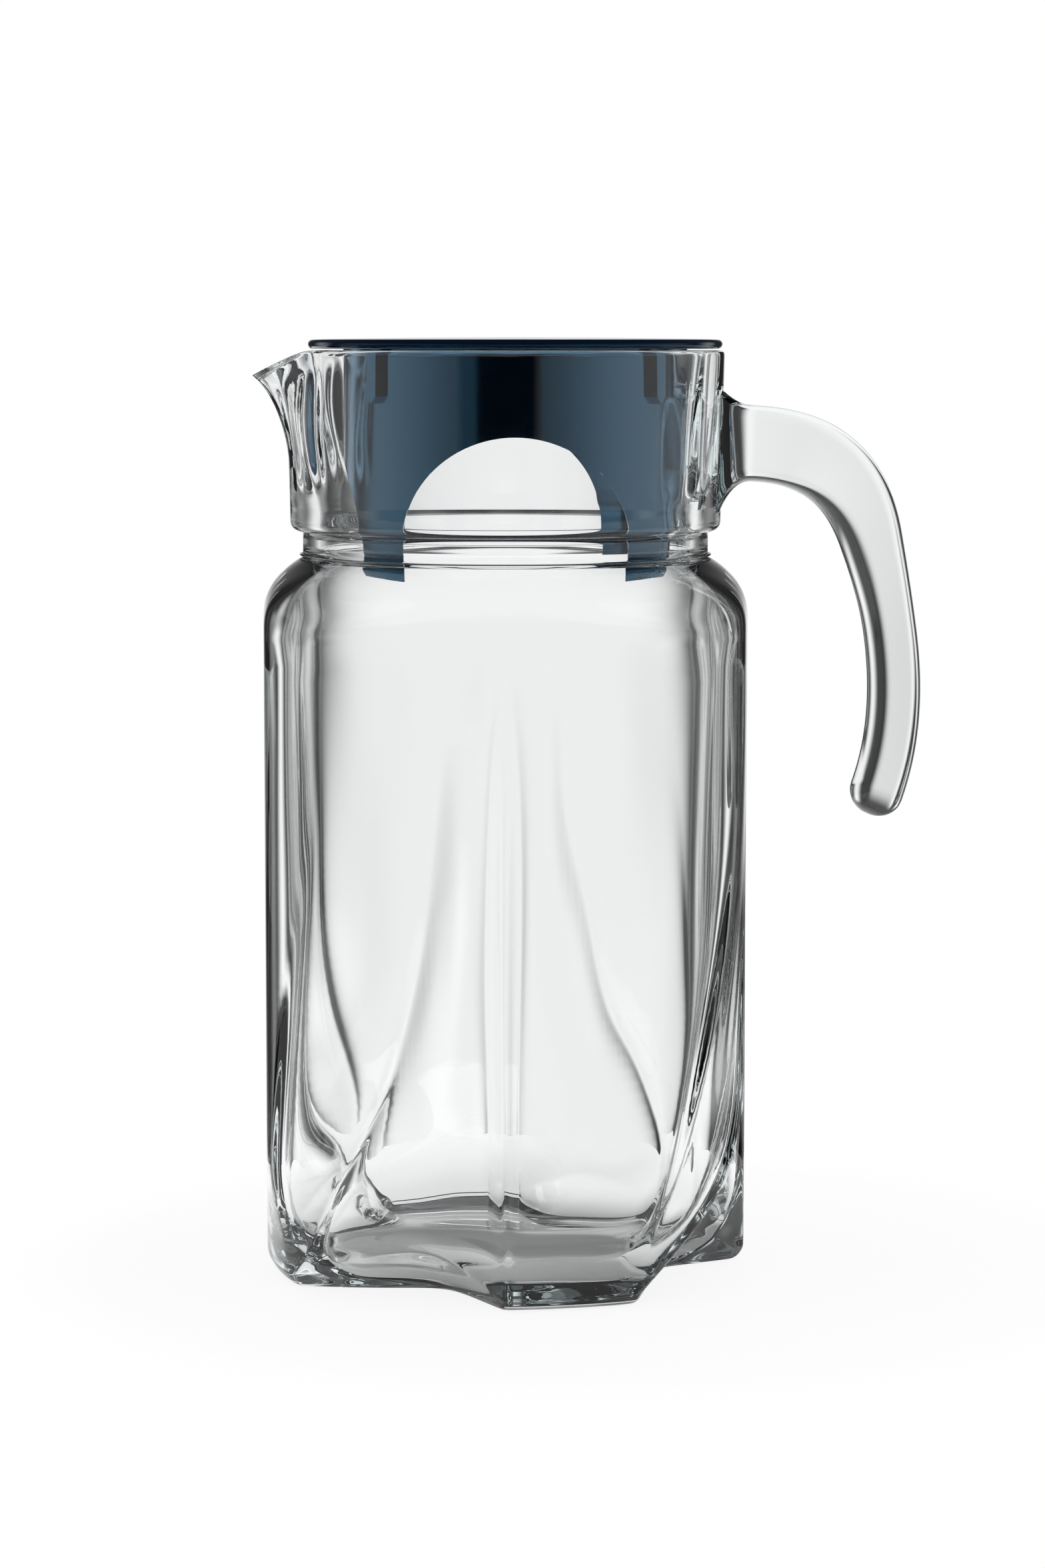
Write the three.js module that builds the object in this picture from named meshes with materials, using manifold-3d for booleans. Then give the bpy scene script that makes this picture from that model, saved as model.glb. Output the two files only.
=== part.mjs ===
// Lidded glass pitcher: a square blown jug with four swept hollows, a pressed handle joined to
// its collar, and a drop-in plastic lid whose arched skirt stands in the neck.
// Millimetres, +Z up. The handle points along +X, the spout along -X.
import * as THREE from "three";
import { mergeVertices } from "three/addons/utils/BufferGeometryUtils.js";
import Module from "manifold-3d";

const wasm = await Module();
wasm.setup();

// Jug: heights, from the table up
const BODY_HEIGHT = 152; // upright wall
const SHOULDER_HEIGHT = 17;
const NECK_HEIGHT = 5; // groove under the collar
const COLLAR_HEIGHT = 42;
const BASE_THICKNESS = 4.5;
const PUSH_UP = 1.5; // rise of the underside inside its resting rim

// Jug: half-widths, radii and walls
const BODY_HALF = 57; // middle of a side to the axis
const BODY_SQUARENESS = 6; // power of the superellipse: 2 is round
const BODY_ROOF = 0.035; // how far the sides fall back from their middle lines, in half-widths
const SHOULDER_INSET = 9.5; // from the middle of a side in to the neck
const COLLAR_STAND = 2.9; // of the collar's lower edge beyond the neck
const COLLAR_FLARE = 0.8; // growth of the collar up to the rim
const PUSH_UP_RADIUS = 33;
const BODY_WALL = 3.8;
const NECK_WALL = 4;
const COLLAR_WALL = 4.8;
const FLOOR_FILLET = 14;
const COLLAR_ROUND = 2.2;
const BEAD_STAND = 0.8; // bead between neck and shoulder
const BEAD_HEIGHT = 1;

// Jug: the four hollows. Each lies between the upright middle line of a side and a swept crease.
// A ridge runs beside the crease, and the two meet at the foot.
const HOLLOW_GAP = 4; // plain wall left below the shoulder
const HOLLOW_DEPTH = 6; // bow of the hollow at its foot
const CREASE_TOP = 76.5; // azimuths within a quarter turn
const RIDGE_TOP = 53;
const FOOT_CORNER = 28.8;
const FOOT_REACH = 1.02; // of the foot's corner, in half-widths
const HEEL_HEIGHT = 3.5; // undercut heel below the lands
const HEEL_ARCH = 7.5; // how much higher it rises in the middle of a hollow
const HEEL_SLOPE = 0.577; // inward run over height
const QUARTERS = 4;

// Jug: how the hollows form, by the share of the way down from their top to the table
const RIDGE_LEAN = 1.55; // power of the ridge's sweep
const CREASE_LEANS = [2, 6]; // powers whose mean is the crease's sweep
const RIDGE_FLARE = { from: 0.75, to: 1, power: 1.5 }; // out to the foot's corner
const CREASE_FLARE = { from: 0.68, to: 1 };
const STRIP_FLATTENS = { from: 0.08, to: 0.6 };
const HOLLOW_FORMS = { from: 0, to: 0.3 };
const HOLLOW_BOW = 3; // power of the bow's growth
const HEEL_BOW = 1.2; // power of the heel's arch
const SHOULDER_CURVE = 2.8; // power of the shoulder's turn into the neck

// Spout
const SPOUT_REACH = 8.2; // beyond the collar
const SPOUT_DROP = 5.8; // of the lip below the rim
const SPOUT_RISE = 26; // height over which the spout swells out
const SPOUT_HALF_ANGLE = 27;
const SPOUT_LIP = 2.6; // glass at the tip
const SPOUT_AZIMUTH = 270;
const SPOUT_SWELL = 1.6; // power of its swelling
const SPOUT_DIP = 3; // power of its dip

// Handle
const HANDLE_ROOT_HEIGHT = 20; // of the root's middle above the collar's lower edge
const HANDLE_REACH = 34.3; // from the body to the middle of the grip
const HANDLE_DROP = 87; // from the root's middle to the end of the tip
const HANDLE_BEND = { inset: 5.8, drop: 22 }; // end of the bend, in from the grip and below the root
const BEND_SLANT = 0.266; // outward run of the line over its drop at the end of the bend
const BEND_PULLS = { before: 17, after: 15 }; // drops over which the line keeps that slant
const ROOT_PULL = { share: 0.53, rise: 2 }; // where the line leaves the collar: of its run, and upwards
const TIP_PULL = { stand: 4.9, share: 0.63 }; // bow of the lower grip: outwards, and of its drop
const TIP_INSET = 6.3; // of the tip, in from the grip
const HANDLE_ROOT_DEPTH = 17.8; // section in the plane of the handle
const HANDLE_GRIP_DEPTH = 12;
const HANDLE_ROOT_WIDTH = 17;
const HANDLE_GRIP_WIDTH = 15;
const HANDLE_FOOT_SPREAD = 4.6; // flare of the root on the collar, all round
const HANDLE_FOOT_LENGTH = 7;
const HANDLE_SLIMS = { from: 0.18, to: 0.62 }; // shares of the line between root and grip sections
const SECTION_POWERS = { outside: 0.55, fingers: 0.8, sides: 0.7 }; // 1 is round, less is squarer
const JOIN_GAP = 0.3; // between the two glass pieces

// Lid
const LID_THICKNESS = 2.2;
const LID_CROWN = 0.5;
const LID_LAP = 2; // of the disc on the rim
const LID_SHIFT = 2.3; // play taken up towards the handle
const SEAT_GAP = 0.3;
const SKIRT_CLEARANCE = 3.3; // to the neck
const SKIRT_WALL = 1.6;
const SKIRT_DEPTH = 53;
const LEG_BEAD = 0.8; // outward bead round the foot of the legs
const LEG_BEAD_HEIGHT = 4;
const WIDE_ARCH = { halfWidth: 24.6, crown: 32.2 }; // front and back, from the foot of the legs
const SIDE_ARCH = { halfWidth: 21.5, crown: 28 }; // towards spout and handle
const RIB_AZIMUTH = 47; // of each rib, from the front or the back
const RIB = { width: 3.1, length: 12.5, stand: 1.8 };

// Facets of each quarter of the jug, and of the lid
const LAND_STEPS = 8;
const STRIP_STEPS = 4;
const HOLLOW_STEPS = 7;
const QUARTER_STEPS = LAND_STEPS + STRIP_STEPS + HOLLOW_STEPS;
const RING_POINTS = QUARTERS * QUARTER_STEPS;
const LID_STEPS = 72;
const WALL_STEPS = 11;
const INNER_WALL_STEPS = 8;
const SHOULDER_STEPS = 7;
const COLLAR_STEPS = 5;
const FILLET_STEPS = 3;
const HANDLE_STEPS = 16;
const FOOT_STEPS = 4;
const HANDLE_CORNERS = 20;
const ARCH_STEPS = 20;
const LAND_SPREAD = 0.85; // power that spaces a land's points closer to its ridge
const WALL_SPREAD = 1.3; // power that spaces the wall's rings closer to the heel
const WALL_EASING = 2; // passes that ease the corners inside
const FLOOR_EASING = 3;
const ROUND_SHARE = 1 - Math.SQRT1_2; // middle of a round, in from its corner

// Heights and radii that follow
const NECK_FOOT = BODY_HEIGHT + SHOULDER_HEIGHT;
const COLLAR_FOOT = NECK_FOOT + NECK_HEIGHT;
const RIM = COLLAR_FOOT + COLLAR_HEIGHT;
const NECK_RADIUS = BODY_HALF - SHOULDER_INSET;
const COLLAR_RADIUS = NECK_RADIUS + COLLAR_STAND;
const RIM_RADIUS = COLLAR_RADIUS + COLLAR_FLARE;
const HOLLOW_TOP = BODY_HEIGHT - HOLLOW_GAP;
const NECK_BORE = NECK_RADIUS - NECK_WALL;
const COLLAR_BORE = RIM_RADIUS - COLLAR_WALL;
const HANDLE_ROOT_Z = COLLAR_FOOT + HANDLE_ROOT_HEIGHT;
const GRIP_X = BODY_HALF + HANDLE_REACH;
const SKIRT_RADIUS = NECK_BORE - SKIRT_CLEARANCE;
const DISC_RADIUS = COLLAR_BORE + LID_LAP;
const DISC_FOOT = RIM + SEAT_GAP;
const SKIRT_FOOT = DISC_FOOT - SKIRT_DEPTH;

const { degToRad, lerp, smoothstep, clamp } = THREE.MathUtils;
const QUARTER_TURN = 360 / QUARTERS;
const shares = (count) => Array.from({ length: count + 1 }, (_, i) => i / count);
const indices = (count) => Array.from({ length: count }, (_, i) => i);

// Azimuth 0 faces the front, -Y, and grows towards +X.
function outward(azimuth, radius) {
  const turn = degToRad(azimuth);
  return new THREE.Vector2(radius * Math.sin(turn), -radius * Math.cos(turn));
}

// The plain square outline: distance from the axis at an azimuth.
function squareRadius(azimuth) {
  const turn = degToRad(azimuth);
  const power = BODY_SQUARENESS;
  const spread = Math.abs(Math.cos(turn)) ** power + Math.abs(Math.sin(turn)) ** power;
  return BODY_HALF * spread ** (-1 / power) * (1 - BODY_ROOF * Math.abs(Math.sin(2 * turn)));
}

// Where the ridge and the crease of a quarter stand at a height.
function sweepAt(z) {
  const down = 1 - clamp(z / HOLLOW_TOP, 0, 1);
  const ridge = lerp(RIDGE_TOP, FOOT_CORNER, down ** RIDGE_LEAN);
  const [early, late] = CREASE_LEANS.map((power) => down ** power);
  const crease = lerp(CREASE_TOP, FOOT_CORNER, (early + late) / 2);
  const foot = FOOT_REACH * BODY_HALF;
  const ridgeFlare = smoothstep(down, RIDGE_FLARE.from, RIDGE_FLARE.to) ** RIDGE_FLARE.power;
  const creaseFlare = smoothstep(down, CREASE_FLARE.from, CREASE_FLARE.to);
  return {
    down,
    ridge,
    crease,
    ridgeRadius: lerp(squareRadius(ridge), foot, ridgeFlare),
    creaseRadius: lerp(squareRadius(crease), foot, creaseFlare),
  };
}

// One point of the body's outline in the first quarter, by its index and height.
function quarterPoint(index, z) {
  const { down, ridge, crease, ridgeRadius, creaseRadius } = sweepAt(z);
  if (index < LAND_STEPS) {
    const t = (index / LAND_STEPS) ** LAND_SPREAD;
    const share = lerp(1, ridgeRadius / squareRadius(ridge), t ** 2);
    return outward(ridge * t, squareRadius(ridge * t) * share);
  }
  const onRidge = outward(ridge, ridgeRadius);
  const onCrease = outward(crease, creaseRadius);
  if (index < LAND_STEPS + STRIP_STEPS) {
    const t = (index - LAND_STEPS) / STRIP_STEPS;
    const azimuth = lerp(ridge, crease, t);
    const flat = onRidge.lerp(onCrease, t);
    const flattened = smoothstep(down, STRIP_FLATTENS.from, STRIP_FLATTENS.to);
    return outward(azimuth, squareRadius(azimuth)).lerp(flat, flattened);
  }
  const t = (index - LAND_STEPS - STRIP_STEPS) / HOLLOW_STEPS;
  const azimuth = lerp(crease, QUARTER_TURN, t);
  const middle = outward(QUARTER_TURN, BODY_HALF);
  const chord = middle.clone().sub(onCrease);
  const inward = new THREE.Vector2(-chord.y, chord.x).normalize();
  const bow = HOLLOW_DEPTH * down ** HOLLOW_BOW * (1 - (2 * t - 1) ** 2);
  const hollow = onCrease.clone().addScaledVector(chord, t).addScaledVector(inward, bow);
  const formed = smoothstep(down, HOLLOW_FORMS.from, HOLLOW_FORMS.to);
  return outward(azimuth, squareRadius(azimuth)).lerp(hollow, formed);
}

function bodyPoint(index, z) {
  const quarter = Math.floor(index / QUARTER_STEPS);
  const p = quarterPoint(index % QUARTER_STEPS, z);
  p.rotateAround(new THREE.Vector2(), degToRad(quarter * QUARTER_TURN));
  return new THREE.Vector3(p.x, p.y, z);
}

const bodyRing = (z) => indices(RING_POINTS).map((i) => bodyPoint(i, z));

// Height of the heel's upper edge: level under the lands, arched in the hollows.
function heelHeight(index) {
  const t = ((index % QUARTER_STEPS) - LAND_STEPS - STRIP_STEPS) / HOLLOW_STEPS;
  return HEEL_HEIGHT + HEEL_ARCH * Math.sin(Math.PI * clamp(t, 0, 1)) ** HEEL_BOW;
}

function roundRing(radius, z) {
  return indices(RING_POINTS).map((i) => {
    const p = outward((i / RING_POINTS) * 360, radius);
    return new THREE.Vector3(p.x, p.y, z);
  });
}

// The ring drawn towards the axis by a length, and set at a height.
function drawnIn(ring, length, z) {
  return ring.map((p) => {
    const share = 1 - length / Math.hypot(p.x, p.y);
    return new THREE.Vector3(p.x * share, p.y * share, z);
  });
}

// The ring's corners eased, as glass blown against a mould has them inside.
function eased(ring, passes) {
  let now = ring;
  for (const _ of indices(passes))
    now = now.map((p, i) =>
      p
        .clone()
        .multiplyScalar(2)
        .add(now.at(i - 1))
        .add(now[(i + 1) % now.length])
        .divideScalar(4),
    );
  return now;
}

// A closed skin over rings of equal count, with each end drawn to a point.
function loft(rings, startPoint, endPoint) {
  const count = rings[0].length;
  const points = [startPoint, ...rings.flat(), endPoint];
  const at = (ring, i) => 1 + ring * count + (i % count);
  const faces = [];
  for (const i of indices(count)) {
    faces.push(0, at(0, i + 1), at(0, i));
    for (const r of indices(rings.length - 1)) {
      faces.push(at(r, i), at(r, i + 1), at(r + 1, i + 1));
      faces.push(at(r, i), at(r + 1, i + 1), at(r + 1, i));
    }
    faces.push(points.length - 1, at(rings.length - 1, i), at(rings.length - 1, i + 1));
  }
  const geometry = new THREE.BufferGeometry().setFromPoints(points);
  geometry.setIndex(faces);
  return geometry;
}

// A profile of [radius, height] pairs turned about +Z.
function turned(profile, steps) {
  const points = profile.map(([r, z]) => new THREE.Vector2(r, z));
  return new THREE.LatheGeometry(points, steps).rotateX(Math.PI / 2);
}

function solidOf(geometry) {
  const bare = geometry.clone();
  bare.deleteAttribute("normal");
  bare.deleteAttribute("uv");
  const merged = mergeVertices(bare, 1e-4);
  return new wasm.Manifold(
    new wasm.Mesh({
      numProp: 3,
      vertProperties: merged.attributes.position.array,
      triVerts: new Uint32Array(merged.index.array),
    }),
  );
}

function geometryOf(solid) {
  const { vertProperties, triVerts } = solid.getMesh();
  const geometry = new THREE.BufferGeometry();
  geometry.setAttribute("position", new THREE.BufferAttribute(vertProperties, 3));
  geometry.setIndex(new THREE.BufferAttribute(triVerts, 1));
  return geometry;
}

function mesh(name, geometry, material) {
  const made = new THREE.Mesh(geometry, material);
  made.name = name;
  made.geometry.computeVertexNormals();
  return made;
}

// Shoulder rings from the square wall in to the round neck, with the points spread evenly on the way.
function shoulderRings(steps, inset, toRadius, fromZ, toZ) {
  const wall = bodyRing(HOLLOW_TOP);
  return shares(steps).map((t) => {
    const ring = wall.map((p, i) => {
      const own = THREE.MathUtils.radToDeg(Math.atan2(p.x, -p.y));
      const even = (i / RING_POINTS) * 360;
      const lag = ((own - even + 540) % 360) - 180;
      const azimuth = even + lag * (1 - t);
      const radius = lerp(squareRadius(azimuth) - inset, toRadius, t ** SHOULDER_CURVE);
      const q = outward(azimuth, radius);
      return new THREE.Vector3(q.x, q.y, lerp(fromZ, toZ, t));
    });
    return ring;
  });
}

// The collar with its spout: a lobe that swells outwards and dips towards the tip.
function collarRing(radius, z, thinning) {
  const swell = clamp((z - (RIM - SPOUT_RISE)) / SPOUT_RISE, 0, 1);
  return indices(RING_POINTS).map((i) => {
    const azimuth = (i / RING_POINTS) * 360;
    const side = (azimuth - SPOUT_AZIMUTH) / SPOUT_HALF_ANGLE;
    const lobe = Math.max(0, 1 - side ** 2) ** 2;
    const reach = lobe * (SPOUT_REACH * swell ** SPOUT_SWELL + thinning * swell);
    const p = outward(azimuth, radius + reach);
    return new THREE.Vector3(p.x, p.y, z - SPOUT_DROP * lobe * swell ** SPOUT_DIP);
  });
}

function heelRings() {
  const edge = indices(RING_POINTS).map((i) => bodyPoint(i, heelHeight(i)));
  const sole = edge.map((p) => {
    const share = 1 - (HEEL_SLOPE * p.z) / Math.hypot(p.x, p.y);
    return new THREE.Vector3(p.x * share, p.y * share, 0);
  });
  return [sole, edge];
}

function outerRings() {
  const rings = heelRings();
  for (const t of shares(WALL_STEPS).slice(1)) {
    const climb = t ** WALL_SPREAD;
    rings.push(indices(RING_POINTS).map((i) => bodyPoint(i, lerp(heelHeight(i), HOLLOW_TOP, climb))));
  }
  rings.push(...shoulderRings(SHOULDER_STEPS, 0, NECK_RADIUS, BODY_HEIGHT, NECK_FOOT - BEAD_HEIGHT));
  rings.push(roundRing(NECK_RADIUS + BEAD_STAND, NECK_FOOT - BEAD_HEIGHT / 2));
  rings.push(roundRing(NECK_RADIUS, NECK_FOOT));
  rings.push(roundRing(NECK_RADIUS, COLLAR_FOOT));
  const roundMiddle = ROUND_SHARE * COLLAR_ROUND;
  rings.push(roundRing(COLLAR_RADIUS - roundMiddle, COLLAR_FOOT + roundMiddle));
  rings.push(roundRing(COLLAR_RADIUS, COLLAR_FOOT + COLLAR_ROUND));
  for (const t of shares(COLLAR_STEPS)) {
    const z = lerp(RIM - SPOUT_RISE, RIM - COLLAR_ROUND / 2, t);
    const flare = COLLAR_FLARE * ((z - COLLAR_FOOT) / COLLAR_HEIGHT);
    rings.push(collarRing(COLLAR_RADIUS + flare, z, 0));
  }
  rings.push(collarRing(RIM_RADIUS - COLLAR_ROUND / 2, RIM, 0));
  return rings;
}

function innerRings() {
  const thinning = COLLAR_WALL - SPOUT_LIP;
  const rings = [collarRing(COLLAR_BORE + COLLAR_ROUND / 2, RIM, thinning)];
  for (const t of shares(COLLAR_STEPS - 1)) {
    const z = lerp(RIM - COLLAR_ROUND / 2, RIM - SPOUT_RISE, t);
    rings.push(collarRing(COLLAR_BORE, z, thinning));
  }
  rings.push(roundRing(COLLAR_BORE, COLLAR_FOOT + COLLAR_WALL));
  rings.push(roundRing(NECK_BORE, COLLAR_FOOT));
  const shoulderFoot = BODY_HEIGHT - BODY_WALL / 2;
  const shoulderTop = NECK_FOOT - BODY_WALL / 2;
  rings.push(...shoulderRings(SHOULDER_STEPS - 1, BODY_WALL, NECK_BORE, shoulderFoot, shoulderTop).reverse());
  const filletTop = BASE_THICKNESS + FLOOR_FILLET;
  for (const t of shares(INNER_WALL_STEPS).slice(1)) {
    const z = lerp(HOLLOW_TOP, filletTop, t);
    rings.push(drawnIn(eased(bodyRing(z), WALL_EASING), BODY_WALL, z));
  }
  for (const t of shares(FILLET_STEPS).slice(1)) {
    const turn = (t * Math.PI) / 2;
    const z = filletTop - FLOOR_FILLET * Math.sin(turn);
    const inset = BODY_WALL + FLOOR_FILLET * (1 - Math.cos(turn));
    rings.push(drawnIn(eased(bodyRing(z), FLOOR_EASING), inset, z));
  }
  return rings;
}

function jugBody(material) {
  const pushUp = [0.5, 1].map((t) => roundRing(PUSH_UP_RADIUS * t, PUSH_UP * (1 - t ** 2)));
  const rings = [...pushUp, ...outerRings(), ...innerRings()];
  const underside = new THREE.Vector3(0, 0, PUSH_UP);
  const floor = new THREE.Vector3(0, 0, BASE_THICKNESS);
  return mesh("jug_body", loft(rings, underside, floor), material);
}

// The handle's line in the XZ plane: out from the collar, over the bend, down the grip.
function handleLine() {
  const at = (x, drop) => new THREE.Vector3(x, 0, HANDLE_ROOT_Z - drop);
  const rootX = COLLAR_RADIUS - COLLAR_WALL / 2;
  const bendX = GRIP_X - HANDLE_BEND.inset;
  const besideBend = (drop) => at(bendX + BEND_SLANT * drop, HANDLE_BEND.drop + drop);
  const bend = besideBend(0);
  const leaving = at(lerp(rootX, GRIP_X, ROOT_PULL.share), -ROOT_PULL.rise);
  const bowing = at(GRIP_X + TIP_PULL.stand, lerp(HANDLE_BEND.drop, HANDLE_DROP, TIP_PULL.share));
  const tip = at(GRIP_X - TIP_INSET, HANDLE_DROP);
  const line = new THREE.CurvePath();
  line.add(new THREE.CubicBezierCurve3(at(rootX, 0), leaving, besideBend(-BEND_PULLS.before), bend));
  line.add(new THREE.CubicBezierCurve3(bend, besideBend(BEND_PULLS.after), bowing, tip));
  return line;
}

// One section: flat sides, a broad round on the finger side and a tighter one outside.
function handleSection(centre, tangent, depth, width) {
  const inward = new THREE.Vector3(0, 1, 0).cross(tangent).normalize();
  const swung = (value, power) => Math.sign(value) * Math.abs(value) ** power;
  return indices(HANDLE_CORNERS).map((i) => {
    const turn = (i / HANDLE_CORNERS) * 2 * Math.PI;
    const c = Math.cos(turn);
    const across = swung(c, c > 0 ? SECTION_POWERS.fingers : SECTION_POWERS.outside);
    const aside = swung(Math.sin(turn), SECTION_POWERS.sides);
    return centre
      .clone()
      .addScaledVector(inward, (depth / 2) * across)
      .add(new THREE.Vector3(0, (width / 2) * aside, 0));
  });
}

function handle(material) {
  const line = handleLine();
  const length = line.getLength();
  const footShare = (HANDLE_FOOT_LENGTH + COLLAR_WALL / 2) / length;
  const tipShare = 1 - HANDLE_GRIP_DEPTH / 2 / length;
  const stations = shares(FOOT_STEPS).map((t) => t * footShare);
  stations.push(...shares(HANDLE_STEPS).slice(1).map((t) => lerp(footShare, tipShare, t)));
  const rings = stations.map((u) => {
    const slim = smoothstep(u, HANDLE_SLIMS.from, HANDLE_SLIMS.to);
    const fromCollar = (u * length - COLLAR_WALL / 2) / HANDLE_FOOT_LENGTH;
    const flare = 2 * HANDLE_FOOT_SPREAD * (1 - Math.min(fromCollar, 1)) ** 2;
    const depth = lerp(HANDLE_ROOT_DEPTH, HANDLE_GRIP_DEPTH, slim) + flare;
    const width = lerp(HANDLE_ROOT_WIDTH, HANDLE_GRIP_WIDTH, slim) + flare / 2;
    return handleSection(line.getPointAt(u), line.getTangentAt(u), depth, width);
  });
  const tipWay = line.getTangentAt(1);
  for (const turn of [Math.PI / 9, (2 * Math.PI) / 9, Math.PI / 3, (4 * Math.PI) / 9]) {
    const t = Math.sin(turn);
    const share = Math.cos(turn);
    const centre = line.getPointAt(tipShare).addScaledVector(tipWay, (HANDLE_GRIP_DEPTH / 2) * t);
    rings.push(handleSection(centre, tipWay, HANDLE_GRIP_DEPTH * share, HANDLE_GRIP_WIDTH * share));
  }
  const tip = line.getPointAt(tipShare).addScaledVector(tipWay, HANDLE_GRIP_DEPTH / 2);
  const whole = solidOf(loft(rings, line.getPointAt(0), tip));
  const collar = turned(
    [
      [0, COLLAR_FOOT - HANDLE_FOOT_SPREAD],
      [COLLAR_RADIUS + JOIN_GAP, COLLAR_FOOT - HANDLE_FOOT_SPREAD],
      [COLLAR_RADIUS + JOIN_GAP, COLLAR_FOOT],
      [RIM_RADIUS + JOIN_GAP, RIM],
      [RIM_RADIUS + JOIN_GAP, RIM + HANDLE_FOOT_SPREAD],
      [0, RIM + HANDLE_FOOT_SPREAD],
    ],
    RING_POINTS,
  );
  return mesh("handle", geometryOf(whole.subtract(solidOf(collar))), material);
}

// A round-headed opening, cut right through the skirt along Y.
function archCutter({ halfWidth, crown }) {
  const spring = SKIRT_FOOT + crown - halfWidth;
  const below = SKIRT_FOOT - SKIRT_WALL;
  const shape = new THREE.Shape()
    .moveTo(-halfWidth, below)
    .lineTo(halfWidth, below)
    .lineTo(halfWidth, spring)
    .absarc(0, spring, halfWidth, 0, Math.PI, false);
  const length = 2 * DISC_RADIUS;
  return new THREE.ExtrudeGeometry(shape, { depth: length, bevelEnabled: false, curveSegments: ARCH_STEPS })
    .translate(0, 0, -length / 2)
    .rotateX(Math.PI / 2);
}

// A pointed rib standing out of the skirt under the disc, at an azimuth.
function rib(azimuth) {
  const { width, length, stand } = RIB;
  const top = DISC_FOOT + LID_THICKNESS / 2;
  const foot = DISC_FOOT - length;
  const shape = new THREE.Shape()
    .moveTo(-width / 2, top)
    .lineTo(-width / 2, foot + width / 2)
    .lineTo(0, foot)
    .lineTo(width / 2, foot + width / 2)
    .lineTo(width / 2, top);
  const sunk = SKIRT_WALL / 2;
  return new THREE.ExtrudeGeometry(shape, { depth: stand + sunk, bevelEnabled: false })
    .rotateX(Math.PI / 2)
    .translate(0, -(SKIRT_RADIUS - sunk), 0)
    .rotateZ(degToRad(azimuth));
}

function lid(material) {
  const edge = LID_THICKNESS / 2;
  const edgeMiddle = ROUND_SHARE * edge;
  const inner = SKIRT_RADIUS - SKIRT_WALL;
  const discTop = DISC_FOOT + LID_THICKNESS;
  let solid = solidOf(
    turned(
      [
        [0, DISC_FOOT],
        [inner, DISC_FOOT],
        [inner, SKIRT_FOOT],
        [SKIRT_RADIUS, SKIRT_FOOT],
        [SKIRT_RADIUS + LEG_BEAD, SKIRT_FOOT + LEG_BEAD_HEIGHT / 2],
        [SKIRT_RADIUS, SKIRT_FOOT + LEG_BEAD_HEIGHT],
        [SKIRT_RADIUS, DISC_FOOT],
        [DISC_RADIUS - edge, DISC_FOOT],
        [DISC_RADIUS - edgeMiddle, DISC_FOOT + edgeMiddle],
        [DISC_RADIUS, DISC_FOOT + edge],
        [DISC_RADIUS - edgeMiddle, discTop - edgeMiddle],
        [DISC_RADIUS - edge, discTop],
        [DISC_RADIUS / 2, discTop + 0.75 * LID_CROWN],
        [0, discTop + LID_CROWN],
      ],
      LID_STEPS,
    ),
  );
  for (const side of [0, 180])
    for (const way of [-RIB_AZIMUTH, RIB_AZIMUTH]) solid = solid.add(solidOf(rib(side + way)));
  solid = solid.subtract(solidOf(archCutter(WIDE_ARCH)));
  solid = solid.subtract(solidOf(archCutter(SIDE_ARCH).rotateZ(Math.PI / 2)));
  const made = mesh("lid", geometryOf(solid), material);
  made.position.x = LID_SHIFT;
  return made;
}

const glass = new THREE.MeshStandardMaterial({
  color: 0xe8eeee,
  roughness: 0.03,
  metalness: 0,
  transparent: true,
  opacity: 0.35,
});
const navyPlastic = new THREE.MeshStandardMaterial({ color: 0x14303f, roughness: 0.3, metalness: 0 });

const pitcher = new THREE.Group();
pitcher.add(jugBody(glass), handle(glass), lid(navyPlastic));

// The origin is on the table, at the middle of the footprint from spout tip to handle.
const footprint = new THREE.Box3().setFromObject(pitcher);
pitcher.position.x = -(footprint.min.x + footprint.max.x) / 2;
const placed = new THREE.Group().add(pitcher);

export default placed;
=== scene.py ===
"""A lidded glass pitcher: clear jug with its handle fused on, and a dark navy lid in the neck.

Lengths are written in millimetres and azimuths in degrees, round the jug's axis: 0 faces the
camera, 90 the handle, 270 the spout. Meshes are turned into metres when they are made.
"""
import math

import bmesh
import bpy
import numpy as np
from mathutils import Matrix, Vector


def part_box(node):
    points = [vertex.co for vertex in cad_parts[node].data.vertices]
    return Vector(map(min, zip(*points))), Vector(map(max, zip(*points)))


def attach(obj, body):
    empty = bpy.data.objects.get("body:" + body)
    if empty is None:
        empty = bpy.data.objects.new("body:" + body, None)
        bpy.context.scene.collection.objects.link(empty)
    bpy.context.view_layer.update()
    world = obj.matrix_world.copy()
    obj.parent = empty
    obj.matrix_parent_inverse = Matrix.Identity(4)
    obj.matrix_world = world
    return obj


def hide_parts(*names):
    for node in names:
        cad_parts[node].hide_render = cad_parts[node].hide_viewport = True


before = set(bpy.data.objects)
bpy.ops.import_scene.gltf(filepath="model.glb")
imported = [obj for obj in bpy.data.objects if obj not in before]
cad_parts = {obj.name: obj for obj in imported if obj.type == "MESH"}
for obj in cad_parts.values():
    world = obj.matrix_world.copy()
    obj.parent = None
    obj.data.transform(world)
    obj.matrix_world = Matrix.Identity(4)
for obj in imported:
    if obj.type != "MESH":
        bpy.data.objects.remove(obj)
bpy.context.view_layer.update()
MM = 0.001


def node_box(node):
    """Lowest and highest corner of a CAD node, in millimetres."""
    low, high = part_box(node)
    return np.array(low) / MM, np.array(high) / MM


JUG_HIGH = node_box("jug_body")[1]
LID_LOW, LID_HIGH = node_box("lid")

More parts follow.
